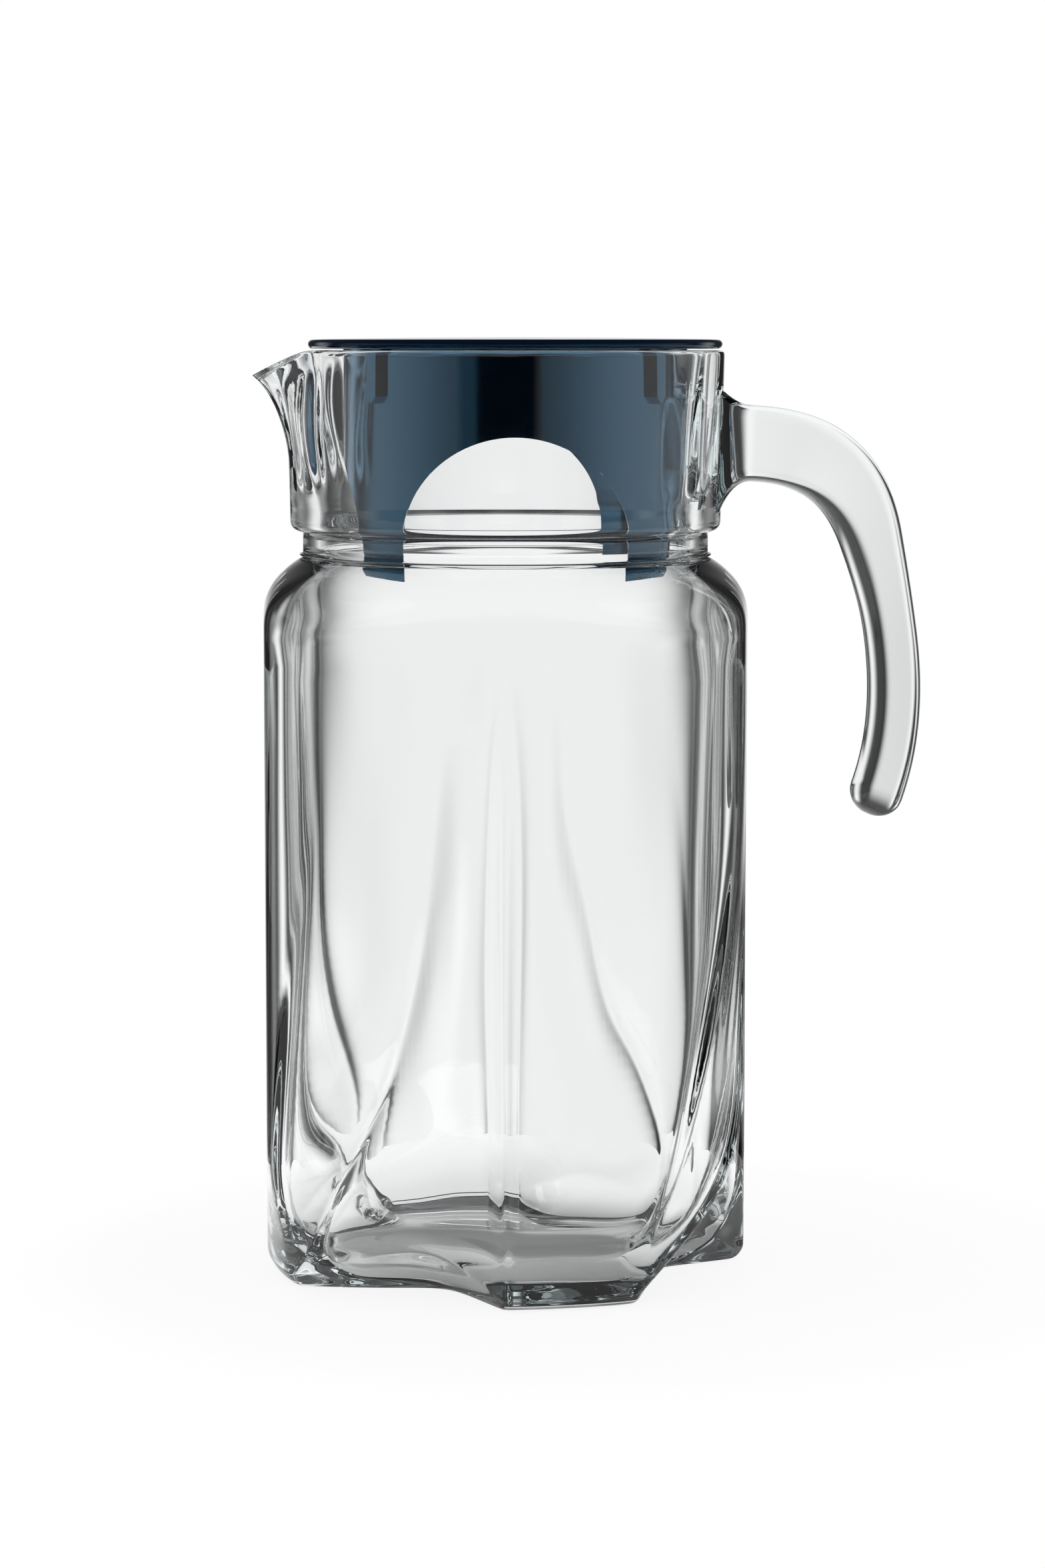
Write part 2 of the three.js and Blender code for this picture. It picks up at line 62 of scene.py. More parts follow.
# Jug: places and heights that the frame gives, and those counted from them
BODY_HALF = JUG_HIGH[1]
JUG_X = JUG_HIGH[0] - BODY_HALF
RIM = JUG_HIGH[2]
COLLAR_HEIGHT = 42
NECK_HEIGHT = 5
SHOULDER_HEIGHT = 17
HOLLOW_GAP = 4  # plain wall left below the shoulder
COLLAR_FOOT = RIM - COLLAR_HEIGHT
NECK_FOOT = COLLAR_FOOT - NECK_HEIGHT
BODY_TOP = NECK_FOOT - SHOULDER_HEIGHT
HOLLOW_TOP = BODY_TOP - HOLLOW_GAP
FLOOR_TOP = 3.5
PUSH_UP = 1  # of the underside's middle

# Jug: radii and walls
NECK_INSET = 9.5
COLLAR_STAND = 2.9  # of the collar's lower edge beyond the neck
COLLAR_FLARE = 0.8  # growth of the collar up to the rim
NECK_RADIUS = BODY_HALF - NECK_INSET
COLLAR_RADIUS = NECK_RADIUS + COLLAR_STAND
RIM_RADIUS = COLLAR_RADIUS + COLLAR_FLARE
PUSH_UP_RADIUS = 26
BODY_WALL = 3.8
NECK_WALL = 4.0
COLLAR_WALL = 5.2
NECK_BORE = NECK_RADIUS - NECK_WALL
COLLAR_BORE = RIM_RADIUS - COLLAR_WALL
FLOOR_FILLET = 16
COLLAR_ROUND = 2.2
RIM_ROUND = 1.5
RIM_SQUARENESS = 0.5
BEAD_STAND = 0.8
BEAD_HEIGHT = 1.0
LEDGE_RISE = 9
LEDGE_WIDTH = 0.5

# Jug: the square outline and its four hollows
QUARTER = 90
SQUARENESS = 6
ROOF = 0.035  # share by which the corners are drawn in
RIDGE_TOP = 53
CREASE_TOP = 76.5
FOOT_CORNER = 28.8
FOOT_REACH = 1.02
HOLLOW_DEPTH = 6
HOLLOW_EARLY = 0.9  # at 0 the hollows deepen late, at 1 evenly
RIDGE_LEAN = 1.55
RIDGE_FLARE_POWER = 1.5
CREASE_LEANS = (2, 6)
HEEL_HEIGHT = 2.5
HEEL_ARCH = 8.5
HEEL_ARCH_POWER = 1.2
HEEL_SLOPES = (0.75, 1.0)  # beside the hollows and in their middle
HEEL_ROUND = 0.6
HEEL_EDGE = 1.6  # half the height of the closely ringed band round the heel's edge
HEEL_LEVEL = 17  # height above which the rings are level
SOLE_ROUND = 1.2
WALL_SPREAD = 1.15  # power that spaces the wall's rings closer to the heel
RIDGE_SOFTNESS = 1.2
FOOT_SOFTNESS = 0.9
FOOT_SOFTNESS_TOP = 70
INNER_SOFTNESS = 3.0
SHOULDER_CURVE = 2.8

# Shares of the way down, from the top of the hollows, where forms begin and where they are complete
RIDGE_FLARE = (0.75, 1)
CREASE_FLARE = (0.68, 1)
STRIP_FLATTENING = (0.08, 0.6)
HOLLOW_ONSET = (0, 0.15)

# Spout, and the folds beside it
SPOUT_REACH = 8.2
SPOUT_REACH_POWER = 1.6
SPOUT_DROP = 5.8
SPOUT_DROP_POWER = 3
SPOUT_RISE = 26
SPOUT_HALF_ANGLE = 27
SPOUT_LIP = 2.6
SPOUT_AZIMUTH = 270
FOLD_DEPTH = 1.1
FOLD_PERIOD = 13
FOLD_SPAN = (6, 31)  # azimuth from the spout's middle
FOLD_FADE = 8  # azimuth over which they fade at the ends of the span
FOLD_HEADROOM = (2, 8)  # below the rim
FOLD_RISE = 8  # above the ledge
FOLD_WAVER = 2.5
FOLD_WAVER_RISE = 6

# Unevenness of the inside: waves round the axis, rise over which each turns, and phase
GLASS_WAVES = ((5, 41, 0.6), (9, -29, 2.1), (14, 23, 4.4), (23, -17, 1.3))
BODY_UNEVENNESS = 0.08
COLLAR_UNEVENNESS = 0.005
ROOT_UNEVENNESS = 0.35
ROOT_HALF_ANGLE = 50
HANDLE_AZIMUTH = 90

# Points round each ring of the jug: as worked out, and as kept
LAND_POINTS = 100
STRIP_POINTS = 60
HOLLOW_POINTS = 100
FINE_POINTS = 1600
RING_POINTS = 304
TURN_PULL = 10  # a radian of turning draws as many points as this length

# Steps from ring to ring in each zone of the jug, from the underside's middle to the floor's
PUSH_UP_STEPS = 7
UNDERSIDE_STEPS = 3
SOLE_STEPS = 4
HEEL_STEPS = (5, 10, 6)  # below the heel's edge, round it and above it
WALL_STEPS = 66
SHOULDER_STEPS = 22
BEAD_STEPS = 5
NECK_STEPS = 3
COLLAR_ROUND_STEPS = 6
COLLAR_STEPS = 18
RIM_STEPS = 16
BORE_STEPS = 24
LEDGE_STEPS = 8
INNER_NECK_STEPS = 3
INNER_SHOULDER_STEPS = 18
INNER_WALL_STEPS = 44
FILLET_STEPS = 10
FLOOR_STEPS = 5


def lerp(a, b, t):
    return a + (b - a) * t


def smoothstep(x, low, high):
    t = np.clip((x - low) / (high - low), 0, 1)
    return t * t * (3 - 2 * t)


def soft_positive(x, width):
    """x where it is above 0, and 0 below, with the bend rounded over a width."""
    return (x + np.sqrt(x * x + width * width)) / 2


def signed_power(values, power):
    return np.sign(values) * np.abs(values) ** power


def outward(azimuth, radius):
    """Points of the plane at azimuths, which grow from the front towards the handle."""
    turn = np.radians(azimuth)
    return np.stack([radius * np.sin(turn), -radius * np.cos(turn)], axis=-1)


def square_radius(azimuth):
    turn = np.radians(azimuth)
    spread = np.abs(np.cos(turn)) ** SQUARENESS + np.abs(np.sin(turn)) ** SQUARENESS
    return BODY_HALF * spread ** (-1 / SQUARENESS) * (1 - ROOF * np.abs(np.sin(2 * turn)))


class Sweep:
    """Where the ridge and the crease of a quarter stand, at an array of heights."""

    def __init__(self, z):
        self.down = 1 - np.clip(z / HOLLOW_TOP, 0, 1)
        self.ridge = lerp(RIDGE_TOP, FOOT_CORNER, self.down**RIDGE_LEAN)
        lean = sum(self.down**power for power in CREASE_LEANS) / len(CREASE_LEANS)
        self.crease = lerp(CREASE_TOP, FOOT_CORNER, lean)
        foot = FOOT_REACH * BODY_HALF
        ridge_flare = smoothstep(self.down, *RIDGE_FLARE) ** RIDGE_FLARE_POWER
        self.ridge_radius = lerp(square_radius(self.ridge), foot, ridge_flare)
        crease_flare = smoothstep(self.down, *CREASE_FLARE)
        self.crease_radius = lerp(square_radius(self.crease), foot, crease_flare)


def land(t, z):
    """Plain part of a side, from its middle line to the ridge, at shares of the way and heights."""
    sweep = Sweep(z)
    share = lerp(1, sweep.ridge_radius / square_radius(sweep.ridge), t**2)
    return outward(sweep.ridge * t, square_radius(sweep.ridge * t) * share)


def blend(plain, formed, share):
    return plain + (formed - plain) * share[:, None]


def strip(t, z):
    """The strip from the ridge to the crease, which is flat further down."""
    sweep = Sweep(z)
    azimuth = lerp(sweep.ridge, sweep.crease, t)
    on_ridge = outward(sweep.ridge, sweep.ridge_radius)
    on_crease = outward(sweep.crease, sweep.crease_radius)
    flat = blend(on_ridge, on_crease, t)
    flatness = smoothstep(sweep.down, *STRIP_FLATTENING)
    return blend(outward(azimuth, square_radius(azimuth)), flat, flatness)


def hollow(t, z):
    """The hollow from the crease to the middle line of the next side."""
    sweep = Sweep(z)
    azimuth = lerp(sweep.crease, QUARTER, t)
    on_crease = outward(sweep.crease, sweep.crease_radius)
    chord = outward(np.full_like(t, QUARTER), BODY_HALF) - on_crease
    inward = np.stack([-chord[:, 1], chord[:, 0]], axis=1)
    inward /= np.hypot(*chord.T)[:, None]
    depth = HOLLOW_DEPTH * lerp(sweep.down**3, sweep.down, HOLLOW_EARLY)
    bow = depth * (1 - (2 * t - 1) ** 2)
    bowed = on_crease + chord * t[:, None] + inward * bow[:, None]
    share = smoothstep(sweep.down, *HOLLOW_ONSET)
    return blend(outward(azimuth, square_radius(azimuth)), bowed, share)


def quarter_turns(points):
    """The points of one quarter, repeated round the axis."""
    x, y = points.T
    turned = [(x, y), (-y, x), (-x, -y), (y, -x)]
    return np.concatenate([np.stack(pair, axis=1) for pair in turned])


SEGMENTS = ((land, LAND_POINTS), (strip, STRIP_POINTS), (hollow, HOLLOW_POINTS))


def heel_arch():
    """Share of the heel's arch at each point of a quarter: 0 beside the hollow, 1 in its middle."""
    arch = np.sin(np.pi * np.arange(HOLLOW_POINTS) / HOLLOW_POINTS) ** HEEL_ARCH_POWER
    return np.concatenate([np.zeros(LAND_POINTS + STRIP_POINTS), arch])


HEEL_SHARE = heel_arch()
HEEL = HEEL_HEIGHT + HEEL_ARCH * HEEL_SHARE


def outline(z):
    """The body's outline with sharp edges and the heel drawn in.

    The height is one for all, or one for each point of a quarter.
    """
    z = np.broadcast_to(z, HEEL.shape)
    lift = np.where(z < HEEL_LEVEL, soft_positive(HEEL - z, HEEL_ROUND), 0)
    parts = []
    start = 0
    for shape, count in SEGMENTS:
        t = np.arange(count) / count
        parts.append(shape(t, (z + lift)[start:start + count]))
        start += count
    short = np.clip(SOLE_ROUND - z, 0, None)
    slope = lerp(*HEEL_SLOPES, HEEL_SHARE)
    inset = slope * lift + SOLE_ROUND - np.sqrt(SOLE_ROUND**2 - short**2)
    points = np.concatenate(parts)
    points = points * (1 - inset / np.hypot(*points.T))[:, None]
    return np.column_stack([quarter_turns(points), np.tile(z, 4)])


def edge_lengths(points):
    return np.linalg.norm(np.roll(points, -1, axis=0) - points, axis=1)


def spaced(points, weights, count):
    """Points of a closed line, taken again at even steps of a weight that each of its edges has."""
    along = np.concatenate([[0], np.cumsum(weights)])
    at = np.linspace(0, along[-1], count, endpoint=False)
    return np.stack([np.interp(at, along, [*column, column[0]]) for column in points.T], axis=1)


def softened(points, length):
    """A closed line taken at even steps, with its corners rounded over a length."""
    lengths = edge_lengths(points)
    even = spaced(points, lengths, FINE_POINTS)
    waves = np.fft.rfftfreq(FINE_POINTS)
    kept = np.exp(-2 * (np.pi * waves * length * FINE_POINTS / lengths.sum()) ** 2)
    return np.fft.irfft(np.fft.rfft(even, axis=0) * kept[:, None], FINE_POINTS, axis=0)


def gathered(points):
    """The points of a ring, closer together where the line turns."""
    edges = np.roll(points, -1, axis=0) - points
    heading = np.arctan2(edges[:, 1], edges[:, 0])
    turn = np.abs((np.roll(heading, -1) - heading + np.pi) % (2 * np.pi) - np.pi)
    return spaced(points, edge_lengths(points) + TURN_PULL * turn, RING_POINTS)


def moved_in(points, length):
    """A level closed line moved towards its inside by a length."""
    along = np.roll(points, -1, axis=0) - np.roll(points, 1, axis=0)
    inward = np.stack([-along[:, 1], along[:, 0], along[:, 2]], axis=1)
    return points + length * inward / np.linalg.norm(along, axis=1)[:, None]


def drawn_in(points, length):
    share = 1 - length / np.hypot(points[:, 0], points[:, 1])
    return points * np.stack([share, share, np.ones_like(share)], axis=1)


def at_height(points, z):
    return np.column_stack([points, np.broadcast_to(z, len(points))])


def wall_ring(z):
    softness = lerp(FOOT_SOFTNESS, RIDGE_SOFTNESS, smoothstep(np.mean(z), 0, FOOT_SOFTNESS_TOP))
    return gathered(softened(outline(z), softness))


RING_AZIMUTHS = np.arange(RING_POINTS) * 360 / RING_POINTS


def round_ring(radius, z):
    return at_height(outward(RING_AZIMUTHS, radius), z)


def ripple(azimuth, z):
    """Slow unevenness of blown glass round the axis and up it, within about -1 to 1."""
    turn = np.radians(azimuth)
    waves = [np.sin(count * turn + z / rise + phase) for count, rise, phase in GLASS_WAVES]
    return sum(waves) / 2


def spout_lobe():
    side = (RING_AZIMUTHS - SPOUT_AZIMUTH) / SPOUT_HALF_ANGLE
    return np.clip(1 - side**2, 0, None) ** 2


def spout_folds(z):
    """Upright folds in the bore to either side of the spout, from under the rim to the ledge."""
    from_spout = np.abs(RING_AZIMUTHS - SPOUT_AZIMUTH)
    low, high = FOLD_SPAN
    begun = smoothstep(from_spout, low, low + FOLD_FADE)
    span = begun * (1 - smoothstep(from_spout, high - FOLD_FADE, high))
    above_ledge = smoothstep(z - COLLAR_FOOT, LEDGE_RISE, LEDGE_RISE + FOLD_RISE)
    height = smoothstep(RIM - z, *FOLD_HEADROOM) * above_ledge
    waver = FOLD_WAVER * np.sin(z / FOLD_WAVER_RISE)
    turn = (from_spout - low + waver) * 2 * np.pi / FOLD_PERIOD
    return FOLD_DEPTH * span * height * np.sin(turn)


def collar_ring(radius, z, inside):
    """A ring of the collar, swelling into the spout. Inside is 0 on the outer wall, 1 in the bore."""
    swell = np.clip((z - (RIM - SPOUT_RISE)) / SPOUT_RISE, 0, 1)
    thinning = inside * (COLLAR_WALL - SPOUT_LIP)
    lobe = spout_lobe()
    reach = lobe * (SPOUT_REACH * swell**SPOUT_REACH_POWER + thinning * swell)
    beside = (RING_AZIMUTHS - HANDLE_AZIMUTH) / ROOT_HALF_ANGLE
    uneven = COLLAR_UNEVENNESS + ROOT_UNEVENNESS * np.clip(1 - beside**2, 0, None)
    reach = reach + inside * (uneven * ripple(RING_AZIMUTHS, z) + spout_folds(z))
    drop = SPOUT_DROP * lobe * swell**SPOUT_DROP_POWER
    return at_height(outward(RING_AZIMUTHS, radius + reach), z - drop)


def shoulder_ring(t, inset, neck, z):
    azimuth = np.arange(FINE_POINTS) * 360 / FINE_POINTS
    radius = lerp(square_radius(azimuth) - inset, neck, t**SHOULDER_CURVE)
    return gathered(softened(at_height(outward(azimuth, radius), z), RIDGE_SOFTNESS))


def shares(count):
    return np.linspace(0, 1, count + 1)


def underside_rings():
    rings = []
    for t in shares(PUSH_UP_STEPS)[1:]:
        rings.append(round_ring(PUSH_UP_RADIUS * t, PUSH_UP * (1 - t**2) ** 2))
    inner, sole = rings[-1], wall_ring(0)
    for t in shares(UNDERSIDE_STEPS)[1:-1]:
        rings.append(lerp(inner, sole, t))
    return rings


def outer_rings():
    rings = []
    below_edge, round_edge, above_edge = HEEL_STEPS
    for t in shares(SOLE_STEPS):
        rings.append(wall_ring(SOLE_ROUND * (1 - math.cos(t * math.pi / 2))))
    below = HEEL - HEEL_EDGE
    above = HEEL + HEEL_EDGE
    for t in shares(below_edge)[1:-1]:
        rings.append(wall_ring(lerp(SOLE_ROUND, below, t)))
    for t in shares(round_edge)[:-1]:
        rings.append(wall_ring(lerp(below, above, t)))
    for t in shares(above_edge)[:-1]:
        rings.append(wall_ring(lerp(above, HEEL_LEVEL, t)))
    for t in shares(WALL_STEPS):
        rings.append(wall_ring(lerp(HEEL_LEVEL, HOLLOW_TOP, t**WALL_SPREAD)))
    shoulder_top = NECK_FOOT - BEAD_HEIGHT
    for t in shares(SHOULDER_STEPS):
        rings.append(shoulder_ring(t, 0, NECK_RADIUS, lerp(BODY_TOP, shoulder_top, t)))
    for t in shares(BEAD_STEPS)[1:]:
        stand = BEAD_STAND * math.sin(t * math.pi)
        rings.append(round_ring(NECK_RADIUS + stand, lerp(shoulder_top, NECK_FOOT, t)))
    for t in shares(NECK_STEPS)[1:]:
        rings.append(round_ring(NECK_RADIUS, lerp(NECK_FOOT, COLLAR_FOOT, t)))
    for t in shares(COLLAR_ROUND_STEPS):
        turn = t * math.pi / 2
        radius = COLLAR_RADIUS - COLLAR_ROUND * (1 - math.sin(turn))
        rings.append(round_ring(radius, COLLAR_FOOT + COLLAR_ROUND * (1 - math.cos(turn))))
    wall_top = RIM - RIM_ROUND
    for t in shares(COLLAR_STEPS)[1:]:
        z = lerp(COLLAR_FOOT + COLLAR_ROUND, wall_top, t)
        rings.append(collar_ring(lerp(COLLAR_RADIUS, RIM_RADIUS, t), z, 0))
    return rings


def rim_rings():
    rings = []
    for t in shares(RIM_STEPS)[1:-1]:
        across = signed_power(math.cos(t * math.pi), RIM_SQUARENESS)
        up = signed_power(math.sin(t * math.pi), RIM_SQUARENESS)
        radius = lerp(COLLAR_BORE, RIM_RADIUS, (1 + across) / 2)
        rings.append(collar_ring(radius, RIM - RIM_ROUND * (1 - up), (1 - across) / 2))
    return rings


def inner_rings():
    rings = []
    ledge_top = COLLAR_FOOT + LEDGE_RISE
    ledge = NECK_BORE + LEDGE_WIDTH
    for t in shares(BORE_STEPS):
        z = lerp(RIM - RIM_ROUND, ledge_top, t)
        rings.append(collar_ring(lerp(COLLAR_BORE, ledge, t), z, 1))
    for t in shares(LEDGE_STEPS)[1:]:
        radius = lerp(ledge, NECK_BORE, smoothstep(t, 0, 1))
        rings.append(round_ring(radius, lerp(ledge_top, COLLAR_FOOT, t)))
    shoulder_top = NECK_FOOT - BODY_WALL / 2
    for t in shares(INNER_NECK_STEPS)[1:-1]:
        rings.append(round_ring(NECK_BORE, lerp(COLLAR_FOOT, shoulder_top, t)))
    for t in shares(INNER_SHOULDER_STEPS)[::-1]:
        z = lerp(BODY_TOP - BODY_WALL / 2, shoulder_top, t)
        rings.append(shoulder_ring(t, BODY_WALL, NECK_BORE, z))
    fillet_top = FLOOR_TOP + FLOOR_FILLET
    for t in shares(INNER_WALL_STEPS)[1:]:
        rings.append(inner_ring(lerp(HOLLOW_TOP, fillet_top, t), 0))
    for t in shares(FILLET_STEPS)[1:]:
        turn = t * math.pi / 2
        z = fillet_top - FLOOR_FILLET * math.sin(turn)
        rings.append(inner_ring(z, FLOOR_FILLET * (1 - math.cos(turn))))
    edge = rings[-1]
    for t in shares(FLOOR_STEPS)[1:-1]:
        rings.append(edge * (1 - t, 1 - t, 1))
    return rings


def inner_ring(z, inset):
    points = softened(outline(max(z, HEEL_HEIGHT + HEEL_ARCH)), INNER_SOFTNESS)
    azimuth = np.degrees(np.arctan2(points[:, 0], -points[:, 1]))
    points = moved_in(points, (BODY_WALL + BODY_UNEVENNESS * ripple(azimuth, z))[:, None])
    return at_height(gathered(drawn_in(points, inset))[:, :2], z)


def lofted(name, rings, start, end, place):
    """A closed skin over rings of equal count, drawn to a point at each end, as a mesh in metres."""
    count = len(rings[0])
    points = np.concatenate([[start], *rings, [end]]) + np.array(place)
    index = 1 + np.arange(len(rings) * count).reshape(len(rings), count)
    ahead = np.roll(index, -1, axis=1)
    quads = np.stack([index[:-1], ahead[:-1], ahead[1:], index[1:]], axis=-1).reshape(-1, 4)
    last = len(points) - 1
    first_fan = np.stack([np.zeros(count, int), ahead[0], index[0]], axis=1)
    last_fan = np.stack([np.full(count, last), index[-1], ahead[-1]], axis=1)
    faces = [*first_fan.tolist(), *quads.tolist(), *last_fan.tolist()]
    mesh = bpy.data.meshes.new(name)
    mesh.from_pydata((points * MM).tolist(), [], faces)
    mesh.polygons.foreach_set("use_smooth", [True] * len(mesh.polygons))
    mesh.update()
    made = bpy.data.objects.new(name, mesh)
    bpy.context.scene.collection.objects.link(made)
    return made


def jug():
    rings = [*underside_rings(), *outer_rings(), *rim_rings(), *inner_rings()]
    return lofted("glass_jug", rings, (0, 0, PUSH_UP), (0, 0, FLOOR_TOP), (JUG_X, 0, 0))


# Handle: its line in the XZ plane, from the jug's axis
HANDLE_ROOT_HEIGHT = 20
HANDLE_REACH = 34.3
HANDLE_ROOT_Z = COLLAR_FOOT + HANDLE_ROOT_HEIGHT
GRIP_X = BODY_HALF + HANDLE_REACH
HANDLE_DROP = 87
BEND_INSET = 5.8
BEND_DROP = 22
BEND_SLANT = 0.266
BEND_PULLS = (17, 15)
ROOT_PULL = (0.53, 2)
TIP_PULL = (4.9, 0.63)
TIP_INSET = 6.3

# Handle: its section, which slims and rounds between shares of the way from the root to the tip
ROOT_DEPTH = 17.8
GRIP_DEPTH = 12
ROOT_WIDTH = 17
GRIP_WIDTH = 15
FOOT_SPREAD = 4.6
FOOT_LENGTH = 7
SLIMMING = (0.18, 0.62)
FINGER_ROUNDINGS = (0.1, 0.38)  # shares of the depth, near the root and on the grip
ROUNDING_SPAN = (0.15, 0.5)
OUTER_EDGE = 0.09  # share of the depth

# Handle: steps along its line, and round its section
LINE_STEPS = 400
HANDLE_STEPS = 110
TIP_STEPS = 12
FINGER_STEPS = 24
SIDE_STEPS = 10
EDGE_STEPS = 6
BACK_STEPS = 6


def bezier(a, b, c, d, t):
    t = t[:, None]
    s = 1 - t
    return a * s**3 + 3 * b * s * s * t + 3 * c * s * t * t + d * t**3


def handle_line(count):
    """Points of the handle's middle line at even steps, and the length of the line."""

    def at(x, drop):
        return np.array([x, HANDLE_ROOT_Z - drop])

    def beside_bend(drop):
        return at(GRIP_X - BEND_INSET + BEND_SLANT * drop, BEND_DROP + drop)

    root_x = COLLAR_RADIUS - COLLAR_WALL / 2
    leaving = at(lerp(root_x, GRIP_X, ROOT_PULL[0]), -ROOT_PULL[1])
    bowing = at(GRIP_X + TIP_PULL[0], lerp(BEND_DROP, HANDLE_DROP, TIP_PULL[1]))
    tip = at(GRIP_X - TIP_INSET, HANDLE_DROP)
    t = shares(LINE_STEPS)
    upper = bezier(at(root_x, 0), leaving, beside_bend(-BEND_PULLS[0]), beside_bend(0), t)
    lower = bezier(beside_bend(0), beside_bend(BEND_PULLS[1]), bowing, tip, t)
    line = np.concatenate([upper, lower[1:]])
    along = np.concatenate([[0], np.cumsum(np.hypot(*np.diff(line, axis=0).T))])
    even = np.linspace(0, along[-1], count + 1)
    return np.stack([np.interp(even, along, line[:, k]) for k in (0, 1)], axis=1), along[-1]


def handle_section(centre, tangent, depth, width, rounding):
    """A section with flat sides, tight outer edges and a share of its depth rounded for the fingers."""
    finger = depth * rounding
    edge = OUTER_EDGE * depth
    half = width / 2
    flat = half - edge
    side_start = depth / 2 - finger
    side_end = edge - depth / 2
    turn = (shares(FINGER_STEPS)[:-1] - 0.5) * math.pi
    side = shares(SIDE_STEPS)[:-1]
    corner = shares(EDGE_STEPS)[:-1] * math.pi / 2
    back = shares(BACK_STEPS)[:-1]
    runs = [
        (side_start + finger * np.cos(turn), half * np.sin(turn)),
        (lerp(side_start, side_end, side), np.full(SIDE_STEPS, half)),
        (side_end - edge * np.sin(corner), flat + edge * np.cos(corner)),
        (np.full(BACK_STEPS, -depth / 2), lerp(flat, -flat, back)),
        (side_end - edge * np.cos(corner), -flat - edge * np.sin(corner)),
        (lerp(side_end, side_start, side), np.full(SIDE_STEPS, -half)),
    ]
    across, aside = np.concatenate(runs, axis=1)
    x = centre[0] + tangent[1] * across
    z = centre[1] - tangent[0] * across
    return np.column_stack([x, aside, z])


def handle():
    line, length = handle_line(HANDLE_STEPS)
    tangents = np.gradient(line, axis=0)
    tangents /= np.hypot(*tangents.T)[:, None]
    rings = []
    tip_start = int(HANDLE_STEPS * (1 - GRIP_DEPTH / 2 / length))
    for i in range(tip_start + 1):
        u = i / HANDLE_STEPS
        slim = smoothstep(u, *SLIMMING)
        from_collar = (u * length - COLLAR_WALL / 2) / FOOT_LENGTH
        flare = 2 * FOOT_SPREAD * (1 - min(from_collar, 1)) ** 2
        depth = lerp(ROOT_DEPTH, GRIP_DEPTH, slim) + flare
        width = lerp(ROOT_WIDTH, GRIP_WIDTH, slim) + flare / 2
        rounding = lerp(*FINGER_ROUNDINGS, smoothstep(u, *ROUNDING_SPAN))
        rings.append(handle_section(line[i], tangents[i], depth, width, rounding))
    start, way = line[tip_start], tangents[-1]
    for t in shares(TIP_STEPS)[1:-1]:
        turn = t * math.pi / 2
        centre = start + way * GRIP_DEPTH / 2 * math.sin(turn)
        depth = GRIP_DEPTH * math.cos(turn)
        width = GRIP_WIDTH * math.cos(turn)
        rings.append(handle_section(centre, way, depth, width, FINGER_ROUNDINGS[1]))
    tip = start + way * GRIP_DEPTH / 2
    ends = [(p[0], 0, p[1]) for p in (line[0], tip)]
    return lofted("glass_handle", rings, *ends, (JUG_X, 0, 0))


def keep_result(target, modifier):
    """Makes what a modifier shows the object's own mesh, and removes the modifier."""
    seen = target.evaluated_get(bpy.context.evaluated_depsgraph_get())
    mesh = bpy.data.meshes.new_from_object(seen)
    target.modifiers.remove(modifier)
    target.data = mesh


def cut_or_join(target, tool, operation):
    """Applies a boolean of two closed meshes and removes the tool."""
    modifier = target.modifiers.new("boolean", "BOOLEAN")
    modifier.operation = operation
    modifier.object = tool
    modifier.solver = "MANIFOLD"
    keep_result(target, modifier)
    bpy.data.objects.remove(tool)


# Lid: its disc and skirt
LID_X = (LID_LOW[0] + LID_HIGH[0]) / 2
DISC_RADIUS = (LID_HIGH[0] - LID_LOW[0]) / 2
LID_TOP = LID_HIGH[2]
LID_CROWN = 0.5
DISC_THICKNESS = 2.2
LEG_EXTRA = 1.5  # of the legs beyond the solid's
SKIRT_GAP = 3.3  # between skirt and neck
DISC_TOP = LID_TOP - LID_CROWN
DISC_FOOT = DISC_TOP - DISC_THICKNESS
SKIRT_FOOT = LID_LOW[2] - LEG_EXTRA
SKIRT_RADIUS = NECK_BORE - SKIRT_GAP
SKIRT_WALL = 1.6
LEG_BEAD = 0.8
LEG_BEAD_HEIGHT = 4
LID_BEVEL = 0.3
LID_BEVEL_ANGLE = 40

# Lid: half width of its arches and height of their crowns over the skirt's foot
WIDE_ARCH = (24.8, 34.7)
SIDE_ARCH = (21.5, 29.5)
BACK_ARCH_ASIDE = 3  # towards the spout
ARCH_OVERRUN = 5  # of the cutters below the skirt

# Lid: its ribs
RIB_AZIMUTH = 49
RIB_WIDTH = 3.1
RIB_LENGTH = 12.5
RIB_STAND = 1.8

# Lid: points round its rings, and places of the rings in its profile
LID_POINTS = 240
UNDER_DISC_SHARES = (0.3, 0.7, 0.97)
UNDER_DISC_DEPTHS = (0.5, 2)
EDGE_SUPPORT = 2
CROWN_SHARES = (0.9, 0.7, 0.5, 0.3, 0.1)
SKIRT_RINGS = 12
LEG_BEAD_STEPS = 6
DISC_EDGE_STEPS = 10
ARCH_STEPS = 48


def lid_ring(radius, z):
    azimuths = np.arange(LID_POINTS) * 360 / LID_POINTS
    return at_height(outward(azimuths, radius), z)


